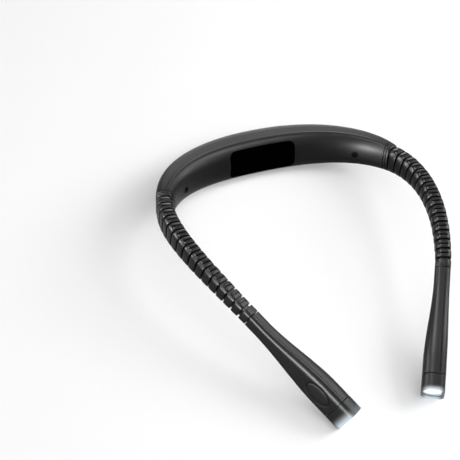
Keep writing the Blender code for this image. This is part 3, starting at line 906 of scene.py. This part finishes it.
def collar_ring(distance, shrink):
    """A ring of points behind the first groove, or in front of it where the distance is negative."""
    share = max(0.0, distance) / band_half_length
    place = band_frame(share) @ Matrix.Translation((0, min(0.0, distance), 0))
    return [place @ Vector((x, 0, z)) for x, z in whole_path(band_section(share), link_steps, shrink)]


def band_collar():
    plug, front = band_wall + clearance, half_groove
    profile = [(plug_length, plug), (collar_length, plug)]
    profile += [(collar_length, collar_edge), (collar_length - collar_edge, 0)]
    profile += [(ring_place + ring_width, 0), (ring_place + ring_floor, ring_depth)]
    profile += [(ring_place - ring_floor, ring_depth), (ring_place - ring_width, 0)]
    profile += [(front + collar_round, 0), (front + collar_round / 3, collar_round * 0.3)]
    profile += [(front, collar_round), (front, collar_core_inset), (front - core_length, collar_core_inset)]
    return closed_tube("band_collar", [collar_ring(distance, shrink) for distance, shrink in profile])


dress_both(band_collar(), "{}_band_collar", None, soft_rim, "casing", "casing", "band", "neck_socket_{}")

# %% [markdown]
# ## The band's two casings
#
# The band is two half shells: a boxy back one, and a rounded front one towards the wearer. On top
# they meet in a fine dark line a little to the wearer's side of the middle, where the back casing's
# top has sloped down to the front one's. Each is an open sheet swept along the band, with Solidify
# for its wall. Their edges are rounded slightly, which is what makes the line visible.

# %% Sweep the two casings
band_rows = 64


def both_halves(rows, cores):
    """Adds the left half to a right half whose last row lies in the middle."""
    rows = rows + [[mirror @ point for point in row] for row in reversed(rows[:-1])]
    return rows, cores + [mirror @ core for core in reversed(cores[:-1])]


def casing_rows(back):
    """Rows across a casing, from the right collar over the nape to the left one."""
    rows, cores = [], []
    first = (collar_length + clearance) / band_half_length
    for share in steps(first, 1, band_rows):
        place, swell = band_frame(share), band_swell(share)
        path = half_shell(band_section(share), back, -band_parting * swell, -band_low_parting * swell)
        rows.append([place @ Vector((x, 0, z)) for x, z in path])
        cores.append(place @ Vector((-band_parting * swell / 2, 0, 0)))
    return both_halves(rows, cores)


rear = walled(wrap("rear_casing", *casing_rows(True)), band_wall)
front = walled(wrap("front_casing", *casing_rows(False)), band_wall)
print("casings", triangles(rear), triangles(front))

# %% [markdown]
# ## The nape panel and its pocket
#
# A black panel is let into the front casing where it rests on the neck. The panel is a patch with
# rounded corners that follows the casing's curve, and the pocket is the same patch, grown by a small
# gap, made thicker and taken out of the casing. The panel lies a hair below the surface.

# %% Cut the pocket and lay in the panel
panel_reach, panel_top, panel_edge, panel_corner = 0.0253, 0.0084, 0.0006, 0.0042
panel_thickness, panel_sunk, panel_gap, panel_rim = 0.0008, 0.00008, 0.00025, 0.00020
corner_cuts, middle_cuts, cut_steps = 8, 18, 26
overrun = 0.002


def front_face(section, z):
    """How far the front casing's skin lies from the band's line at a height."""
    flat, rise = section.low_flat, (-z - section.low_flank) / (section.height - section.low_flank)
    if z > section.inner_flank:
        flat = section.inner_flat
        rise = (z - section.inner_flank) / (section.height - section.brow - section.inner_flank)
    return flat + (section.inner - flat) * math.sqrt(1 - min(1.0, max(0.0, rise)) ** 2)


def patch_rows(margin, sunk):
    """Rows up and down a rounded patch on the front casing, from one end to the other."""
    rows, cores = [], []
    corner, edge = panel_corner + margin, panel_reach + margin
    turns = steps(math.pi / 2, 0, corner_cuts)
    cuts = [(edge - corner * (1 - math.sin(turn)), corner * (1 - math.cos(turn))) for turn in turns]
    cuts += [(distance, 0.0) for distance in steps(edge - corner, 0, middle_cuts)[1:]]
    for distance, taken in cuts:
        share = from_middle(distance)
        section, place = band_section(share), band_frame(share)
        bottom = section.height - panel_edge
        heights = steps(panel_top + margin - taken, taken - bottom - margin, cut_steps)
        rows.append([place @ Vector((sunk - front_face(section, z), 0, z)) for z in heights])
        cores.append(place.to_translation())
    return both_halves(rows, cores)


pocket = wrap("pocket", *patch_rows(panel_gap, -overrun))
cut(front, walled(pocket, overrun + panel_thickness + clearance))
panel = walled(wrap("nape_panel", *patch_rows(0.0, panel_sunk)), panel_thickness)
dress(panel, None, panel_rim, "inlay", "inlay", "band", "nape_inlay")
print("panel", triangles(panel), "triangles")

# %% [markdown]
# ## The battery
#
# Behind the panel lies a small lithium cell in shrink wrap. It starts as a box outline, is pushed to
# the cell's thickness, and its long edges are bevelled round, as the wrap draws tight over them.

# %% Model the battery
cell_half_length, cell_half_height, cell_thickness = 0.018, 0.0080, 0.0095
cell_round, cell_rim = 0.0040, 0.0006


def model_cell():
    cell = disc("cell", box_path(cell_half_length, cell_half_height), 0)
    edit(cell)
    push(cell_thickness)
    for y in (0, cell_thickness):
        for z in (cell_half_height, -cell_half_height):
            choose(cell, "edges", lambda corner: at(y)(corner) and abs(corner.z - z) < tiny)
            bpy.ops.mesh.bevel(offset=cell_round, segments=6, affect="EDGES")
    leave()
    tidy(cell)
    return cell


cell = model_cell()
dress(cell, on_band(0, False, band_wall + clearance), cell_rim, "cell", "cell", "band", "battery_cell")
print("cell", triangles(cell), "triangles")

# %% [markdown]
# ## Screws and their seats
#
# Two small screws hold the casings together from the wearer's side, sunk in round seats. Each seat is
# a short post joined to the casing and then drilled. The screw is a disc pushed to a domed head and,
# from its back, to a plain shank, with a cross cut into the head.

# %% Drill the seats and model the screw
screw_place, screw_drop, screw_sunk = 0.0715, 0.0023, 0.0005
screw_head, screw_head_height, screw_shank, screw_length = 0.0019, 0.0012, 0.0010, 0.0066
screw_edge, screw_dome, screw_rim = 0.00025, ((0.00018, 0.00015), (0.00045, 0.00010)), 0.00006
screw_steps, shank_steps, blade_steps = 32, 24, 16
cross_reach, cross_half_width, cross_depth = 0.0011, 0.00026, 0.0009
post_radius, post_end, shank_hole = 0.0034, 0.0033, (0.0015, 0.006)


def rod(name, path, start, end, place=Matrix.Identity(4), side=1):
    """A solid rod in the shape of a path, from one depth to another, carried to its place."""
    obj = disc(name, path, start)
    edit(obj)
    push(end - start)
    leave()
    tidy(obj)
    obj.data.transform(mirror @ place if side < 0 else place)
    if side < 0:
        obj.data.flip_normals()
    return obj


def model_screw():
    back = screw_sunk + screw_head_height
    screw = disc("screw", oval_path(screw_head, screw_head, screw_steps), back)
    edit(screw)
    push(screw_edge - screw_head_height)
    for margin, rise in screw_dome:
        inset(margin, rise)
    leave()
    push_face(screw, back, screw_head - screw_shank, screw_length)
    tidy(screw)
    blade = oval_path(cross_reach, cross_half_width, blade_steps)
    for turn in (0, math.pi / 2):
        cut(screw, rod("blade", blade, 0, screw_sunk + cross_depth, Matrix.Rotation(turn, 4, "Y")))
    return screw


seat = on_band(screw_place, False, drop=screw_drop)
holes = (
    (screw_head + clearance, screw_steps, -overrun, screw_sunk + screw_head_height + clearance),
    (screw_shank + clearance, shank_steps, *shank_hole),
)
post_path = oval_path(post_radius, post_radius, screw_steps)
for name, side in sides:
    cut(front, rod("post", post_path, band_wall / 2, post_end, seat, side), "UNION")
    for radius, count, start, end in holes:
        cut(front, rod("drill", oval_path(radius, radius, count), start, end, seat, side))
dress_both(model_screw(), "{}_screw", seat, screw_rim, "screw", "metal", "band", "casing_screw_{}")

# %% [markdown]
# ## The charging inlet
#
# On the band's outer side lies the inlet: a steel sleeve with the shape of a stadium and a black
# tongue in its middle. The sleeve is a disc pushed outwards, inset by its wall and pushed back in.
# The opening for it is cut last, and then both casings are finished.

# %% Model the inlet and finish the casings
inlet_place, inlet_width, inlet_height, inlet_depth, inlet_wall = 0.040, 0.0090, 0.0033, 0.0072, 0.0003
inlet_setback, inlet_back, inlet_steps = 0.0002, 0.0012, 12
tongue_half_width, tongue_half_height, tongue_end = 0.0033, 0.00035, 0.0061


def stadium(grown=0.0):
    """The inlet's outline: two half circles joined by straight lines."""
    radius = inlet_height / 2 + grown
    straight = (inlet_width - inlet_height) / 2
    turns = steps(0, math.pi, inlet_steps)
    ends = [(straight + radius * math.sin(turn), radius * math.cos(turn)) for turn in turns]
    return ends + [(-x, z) for x, z in reversed(ends)]


socket = on_band(inlet_place, True, inlet_setback)
sleeve = disc("inlet_sleeve", stadium(), inlet_depth)
edit(sleeve)
push(-inlet_depth)
inset(inlet_wall)
push(inlet_depth - inlet_back)
leave()
tidy(sleeve)
cut(rear, rod("opening", stadium(clearance), -overrun, band_wall + overrun, socket))
dress(sleeve, socket, fine_rim, "metal", "metal", "band", "usb_c_socket")
tongue_path = box_path(tongue_half_width, tongue_half_height)
tongue = rod("inlet_tongue", tongue_path, inlet_back, tongue_end)
dress(tongue, socket, soft_rim, "switch", "switch", "band")

for casing, node in ((rear, "band_rear_shell"), (front, "band_front_shell")):
    dress(casing, None, fine_rim, "casing", "casing", "band", node)
    print(casing.name, triangles(casing), "triangles")

# %% [markdown]
# ## Head collars
#
# A head begins with a collar that carries the last hollow of the neck and, inside the head, a spigot
# for the two shells. It is pushed out of a disc in the neck's last section.

# %% Model the head collars
collar_bevel, collar_rim, spigot_length = 0.0005, 0.00015, 0.008
collar = disc("head_collar", whole_path(head_section(0), link_steps), -half_groove)
push_block(collar, -half_groove, -head_collar, collar_bevel)
push_face(collar, -half_groove, hollow_inset, -hollow_depth)
push_face(collar, -head_collar, head_wall + clearance - collar_bevel, -spigot_length)
tidy(collar)
head_finish = ("casing", "casing", "{}_head")
dress_both(collar, "{}_head_collar_fine", head, collar_rim, *head_finish, "{}_head_collar")

# %% [markdown]
# ## Head shells
#
# Each head is two half shells. Their joint runs along the narrow top, just inside the ridge of the
# outer shell. Round the button, the outer shell is pressed in to a shallow oval dish, whose upper
# edge draws a fine arc of light. The dish is sunk into the sheet before the sheet gets its wall.

# %% Sweep the head shells
bezel_start = head_length - bezel_length
head_parting, head_rows = 0.0005, 120
button_place, button_rise, button_steps = 0.0660, 0.0006, 56
button_length, button_height = 0.0084, 0.0045
dish_length, dish_height, dish_depth, dish_edge = 0.0105, 0.0064, 0.00030, 0.20


def shell_rows(outside):
    rows, cores = [], []
    for forward in steps(head_collar + clearance, bezel_start - clearance, head_rows):
        section = head_section(forward)
        parting, lift = section.outer_flat - head_parting, head_rise * head_flare(forward)
        path = half_shell(section, outside, parting, parting)
        rows.append([Vector((x, -forward, z + lift)) for x, z in path])
        cores.append(Vector((0, -forward, lift)))
    return rows, cores


def press_dish(sheet):
    """Sinks an oval dish with a crisp edge into the outer shell."""
    normals = [corner.normal.copy() for corner in sheet.data.vertices]
    for corner, normal in zip(sheet.data.vertices, normals):
        along = (-corner.co.y - button_place) / dish_length
        up = (corner.co.z - button_rise) / dish_height
        corner.co -= normal * dish_depth * smooth((1 - math.hypot(along, up)) / dish_edge)


outer_sheet = wrap("head_outer", *shell_rows(True))
press_dish(outer_sheet)
outer_shell = walled(outer_sheet, head_wall)
button_up = button_rise + head_rise * head_flare(button_place)
button_at = Matrix.Translation((head_section(button_place).outer, -button_place, button_up))
button_at @= Matrix.Rotation(math.pi / 2, 4, "Z")
opening = oval_path(button_length + seam, button_height + seam, button_steps)
cut(outer_shell, rod("opening", opening, -overrun, 2 * overrun, button_at))
inner_shell = walled(wrap("head_inner", *shell_rows(False)), head_wall)
dress_both(outer_shell, "{}_head_outer_shell_fine", head, fine_rim, *head_finish, "{}_head_outer_shell")
dress_both(inner_shell, "{}_head_inner_shell_fine", head, fine_rim, *head_finish, "{}_head_inner_shell")

# %% [markdown]
# ## Buttons
#
# A long oval rubber button sits in the dish. It is laid out as rings wound round its middle: a flange
# behind the wall, a side that passes through the opening and a gently domed face. Insets would cross
# each other at its narrow ends.

# %% Model the button
flange_share, flange_back, flange_front, button_rim = 1.10, 0.0027, 0.0019, 0.00008
face_shares = (1, 0.985, 0.95, 0.85, 0.65, 0.35, 0)
face_depths = (0.00035, 0.00022, 0.00014, 0.00005, -0.00002, -0.00006, -0.00007)


def model_button():
    profile = [(0, flange_back), (flange_share, flange_back), (flange_share, flange_front), (1, flange_front)]
    profile += zip(face_shares, face_depths)
    outline = oval_path(button_length, button_height, button_steps)
    rings = [[Vector((x * share, y, z * share)) for x, z in outline] for share, y in profile]
    return closed_tube("button", rings)


labels = ("button", "button", "{}_button", "{}_head_button")
dress_both(model_button(), "{}_button_fine", head @ button_at, button_rim, *labels, angle=50)

# %% [markdown]
# ## End caps and lenses
#
# The end cap closes the head round its mouth: a disc pushed to a block, inset from both ends and
# bridged to a sleeve, with a ledge inside that carries the lens. The lens is a clear plate with fine
# rings moulded into its face, laid out as rings round its middle, because insets would cross each
# other in its corners.

# %% Model the end cap and the lens
bezel_wall, bezel_ledge, bezel_rim = 0.0011, 0.0009, 0.00030
lens_recess, lens_thickness, lens_edge, lens_edge_share = 0.0020, 0.0015, 0.0002, 0.985
lens_ring_count, lens_ring_share, lens_ring_depth = 12, 0.02, 0.00018
lens_face = head_length - lens_recess
lens_back = lens_face - lens_thickness
cup_front = lens_back - clearance


def model_bezel():
    outline = whole_path(head_section(bezel_start), mouth_steps, lift=head_rise)
    bezel = disc("end_cap", outline, -bezel_start)
    edit(bezel)
    push(-bezel_length)
    inset(bezel_wall)
    push(head_length - cup_front)
    inset(bezel_ledge)
    choose(bezel, "faces", at(-bezel_start))
    inset(bezel_wall + bezel_ledge)
    # Only the flat faces at the two ends of the inside have more than four corners.
    mesh = bmesh.from_edit_mesh(bezel.data)
    for face in mesh.faces:
        face.select_set(len(face.verts) > 4)
    bmesh.update_edit_mesh(bezel.data)
    bpy.ops.mesh.bridge_edge_loops()
    leave()
    tidy(bezel)
    return bezel


def model_lens():
    path = whole_path(head_section(bezel_start), mouth_steps, bezel_wall + clearance, head_rise)
    middle = Vector((mouth_middle, 0, head_rise))
    profile = [(0.0, lens_back), (0.5, lens_back), (1.0, lens_back)]
    profile += [(1.0, lens_face - lens_edge), (lens_edge_share, lens_face)]
    for ring in range(lens_ring_count - 1, 0, -1):
        share = ring / lens_ring_count
        profile += [(share + lens_ring_share, lens_face), (share, lens_face - lens_ring_depth)]
        profile.append((share - lens_ring_share, lens_face))
    rings = []
    for share, forward in profile + [(0.0, lens_face)]:
        rings.append([middle.lerp(Vector((x, 0, z)), share) + Vector((0, -forward, 0)) for x, z in path])
    return closed_tube("lens", rings)


def dress_in_head(master, name, rim, finish, slot):
    labels = (finish, slot, "{}_head", "{}_head_" + name)
    dress_both(master, "{}_" + name + "_fine", head, rim, *labels, angle=50)


dress_in_head(model_bezel(), "bezel", bezel_rim, "bezel_{}", "bezel")
dress_in_head(model_lens(), "lens", fine_rim, "lens_{}", "lens")

# %% [markdown]
# ## Reflector and lamp
#
# Behind the lens, a plated cup leads the light forwards, from a round hole to the mouth's own
# outline. The lamp in the hole is a square package with a domed yellow top.

# %% Model the reflector and the lamp
cup_depth, cup_wall, hole_radius, hole_growth = 0.0080, 0.0006, 0.0025, 1.25
cup_steps, back_steps = 10, 4
lamp_half_side, lamp_height, lamp_edge = 0.0015, 0.0004, 0.00025
lamp_dome = ((0.00010, 0.00016), (0.00020, 0.00012), (0.00040, 0.00006))


def cup_rings(shrink, radius, shares):
    """Rings of one skin of the cup, from the mouth's outline at share 0 to the hole at share 1."""
    outline = whole_path(head_section(bezel_start), mouth_steps, shrink, head_rise)
    hole = [Vector((x, 0, z + head_rise)) for x, z in oval_path(radius, radius, len(outline))]
    rings = []
    for share in shares:
        back = Vector((0, cup_depth * (1 - (1 - share) ** 2) - cup_front, 0))
        rings.append([Vector((x, 0, z)).lerp(end, share) + back for (x, z), end in zip(outline, hole)])
    return rings


def model_reflector():
    shrink = bezel_wall + bezel_ledge + clearance
    rings = cup_rings(shrink + cup_wall, hole_radius, steps(0, 1, cup_steps))
    rings += cup_rings(shrink, hole_radius * hole_growth, steps(1, 0, back_steps))
    rings.append(rings[0])
    cup = wrap("reflector", [ring + ring[:1] for ring in rings], [Vector((0, -cup_front, 0))] * len(rings))
    tidy(cup)
    return cup


def model_lamp():
    lamp = disc("lamp", box_path(lamp_half_side, lamp_half_side, head_rise), cup_depth - cup_front)
    edit(lamp)
    push(-lamp_height)
    inset(lamp_edge)
    for margin, rise in lamp_dome:
        inset(margin, rise)
    leave()
    tidy(lamp)
    return lamp


dress_in_head(model_reflector(), "reflector", fine_rim, "reflector", "reflector")
dress_in_head(model_lamp(), "led_emitter", soft_rim, "emitter", "emitter")

# %% [markdown]
# ## What stays from the frame
#
# The boards and the switches lie inside, and their CAD shape is already right. They only get a better
# finish, put into their own material slot.

# %% Finish the inner nodes
inner_finishes = {"charge_board": "board"}
for name, _ in sides:
    inner_finishes[f"{name}_head_led_board"] = "board"
    inner_finishes[f"{name}_head_button_switch"] = "switch"
for node, finish in inner_finishes.items():
    frame["nodes"][node].data.materials.clear()
    frame["nodes"][node].data.materials.append(finishes[finish])
print("inner nodes", len(inner_finishes))

# %% [markdown]
# ## Floor and world
#
# The light stands on a plain white floor that runs on to the horizon. Mixing a little plain white
# into what the camera, the gloss and the glass see keeps the paper white while its shadows stay
# soft and grey, and puts no more light on the object. Away from the light, where no shadow falls,
# the share of plain white grows, so that the paper doesn't turn grey beyond the lamps' reach.

# %% Floor and world
floor_size, floor_gap, plain_share = 6, 0.0002, 0.25
shadows_end, all_plain = 0.25, 0.90
ambient = 0.20


def seen_directly(paint):
    """1 for rays from the camera, from gloss and from glass, and 0 for the rest."""
    kinds = ("Camera", "Glossy", "Transmission")
    camera_ray, glossy, clear = (paint.node("ShaderNodeLightPath", output=f"Is {kind} Ray") for kind in kinds)
    return paint.node("ShaderNodeClamp", {}, {"Value": camera_ray + glossy + clear})


def floor_paper():
    paint = Paint("floor_paper", Roughness=0.9, Specular_IOR_Level=0.1)
    paint.colour(paint.clamp(paint.noise(0.2), 0.2, 0.8), (0.88, 0.88, 0.88), (0.90, 0.90, 0.90))
    white = paint.node("ShaderNodeEmission", {}, {"Color": (1, 1, 1, 1), "Strength": 1.0})
    far = paint.clamp(distance_to(paint, (0, 0, 0)), shadows_end, all_plain)
    share = seen_directly(paint) * (far * (1 - plain_share) + plain_share)
    shaders = {0: share, 1: Signal(paint, paint.shader.outputs[0]), 2: white}
    mixed = paint.node("ShaderNodeMixShader", {}, shaders)
    paint.feed(paint.tree.nodes["Material Output"], {"Surface": mixed})
    return paint.material


class Sky(Paint):
    """The world's own nodes, built with the same methods as a material's."""

    def __init__(self, world):
        world.use_nodes = True
        self.tree = world.node_tree
        self.shader = self.tree.nodes["Background"]


deselect()
bpy.ops.mesh.primitive_plane_add(size=floor_size, location=(0, 0, -floor_gap))
floor = bpy.context.object
floor.name = "floor"
floor.data.materials.append(floor_paper())

world = bpy.data.worlds.new("studio")
bpy.context.scene.world = world
sky = Sky(world)
sky.set({"Color": (1, 1, 1, 1), "Strength": seen_directly(sky) * (1 - ambient) + ambient})
print("floor", floor_size, "m, ambient", ambient)

# %% [markdown]
# ## Studio light
#
# A large softbox overhead lights the floor evenly, and a smaller one from the right draws the heads'
# soft shadows. Black gloss shows the lamps more than its own colour, so a few strips stand around
# the light as a product photographer sets them: they are seen in its gloss only, and each one draws
# the highlight of one side. None of them adds to the light on the floor.

# %% Softboxes
lamp_distance = 1.2


def softbox(name, round_turn, up_turn, size, power, gloss_only):
    """A square lamp that faces the middle of the light, placed by its two angles in degrees."""
    turn, rise = math.radians(round_turn), math.radians(up_turn)
    away = Vector((math.cos(turn) * math.cos(rise), math.sin(turn) * math.cos(rise), math.sin(rise)))
    aim = away.to_track_quat("Z", "Y").to_euler()
    bpy.ops.object.light_add(type="AREA", location=away * lamp_distance, rotation=aim)
    lamp = bpy.context.object
    lamp.name = name
    lamp.data.size = size
    lamp.data.energy = power
    lamp.visible_diffuse = not gloss_only


lamps = (
    ("softbox_overhead", -90, 72, 1.6, 12.5),
    ("softbox_key", -8, 36, 0.70, 12.0),
    ("strip_top", 116, 57, 0.42, 32.0),
    ("strip_rear", 66, 9, 0.50, 7.0),
    ("strip_back", 26, 38, 0.40, 9.0),
    ("strip_right_low", 2, 24, 0.30, 7.0),
    ("strip_right_high", 4, 58, 0.30, 15.0),
    ("strip_left_low", -146, 20, 0.30, 74.0),
    ("strip_left_side", -168, 12, 0.50, 34.0),
    ("strip_left_high", -174, 44, 0.40, 18.0),
    ("strip_left_back", 148, 12, 0.40, 42.0),
)
for name, *setting in lamps:
    softbox(name, *setting, gloss_only=name.startswith("strip"))
print("lamps", len(lamps))

# %% Sizes, then finish
print("pieces", len(made), "triangles", sum(triangles(piece) for piece in made))
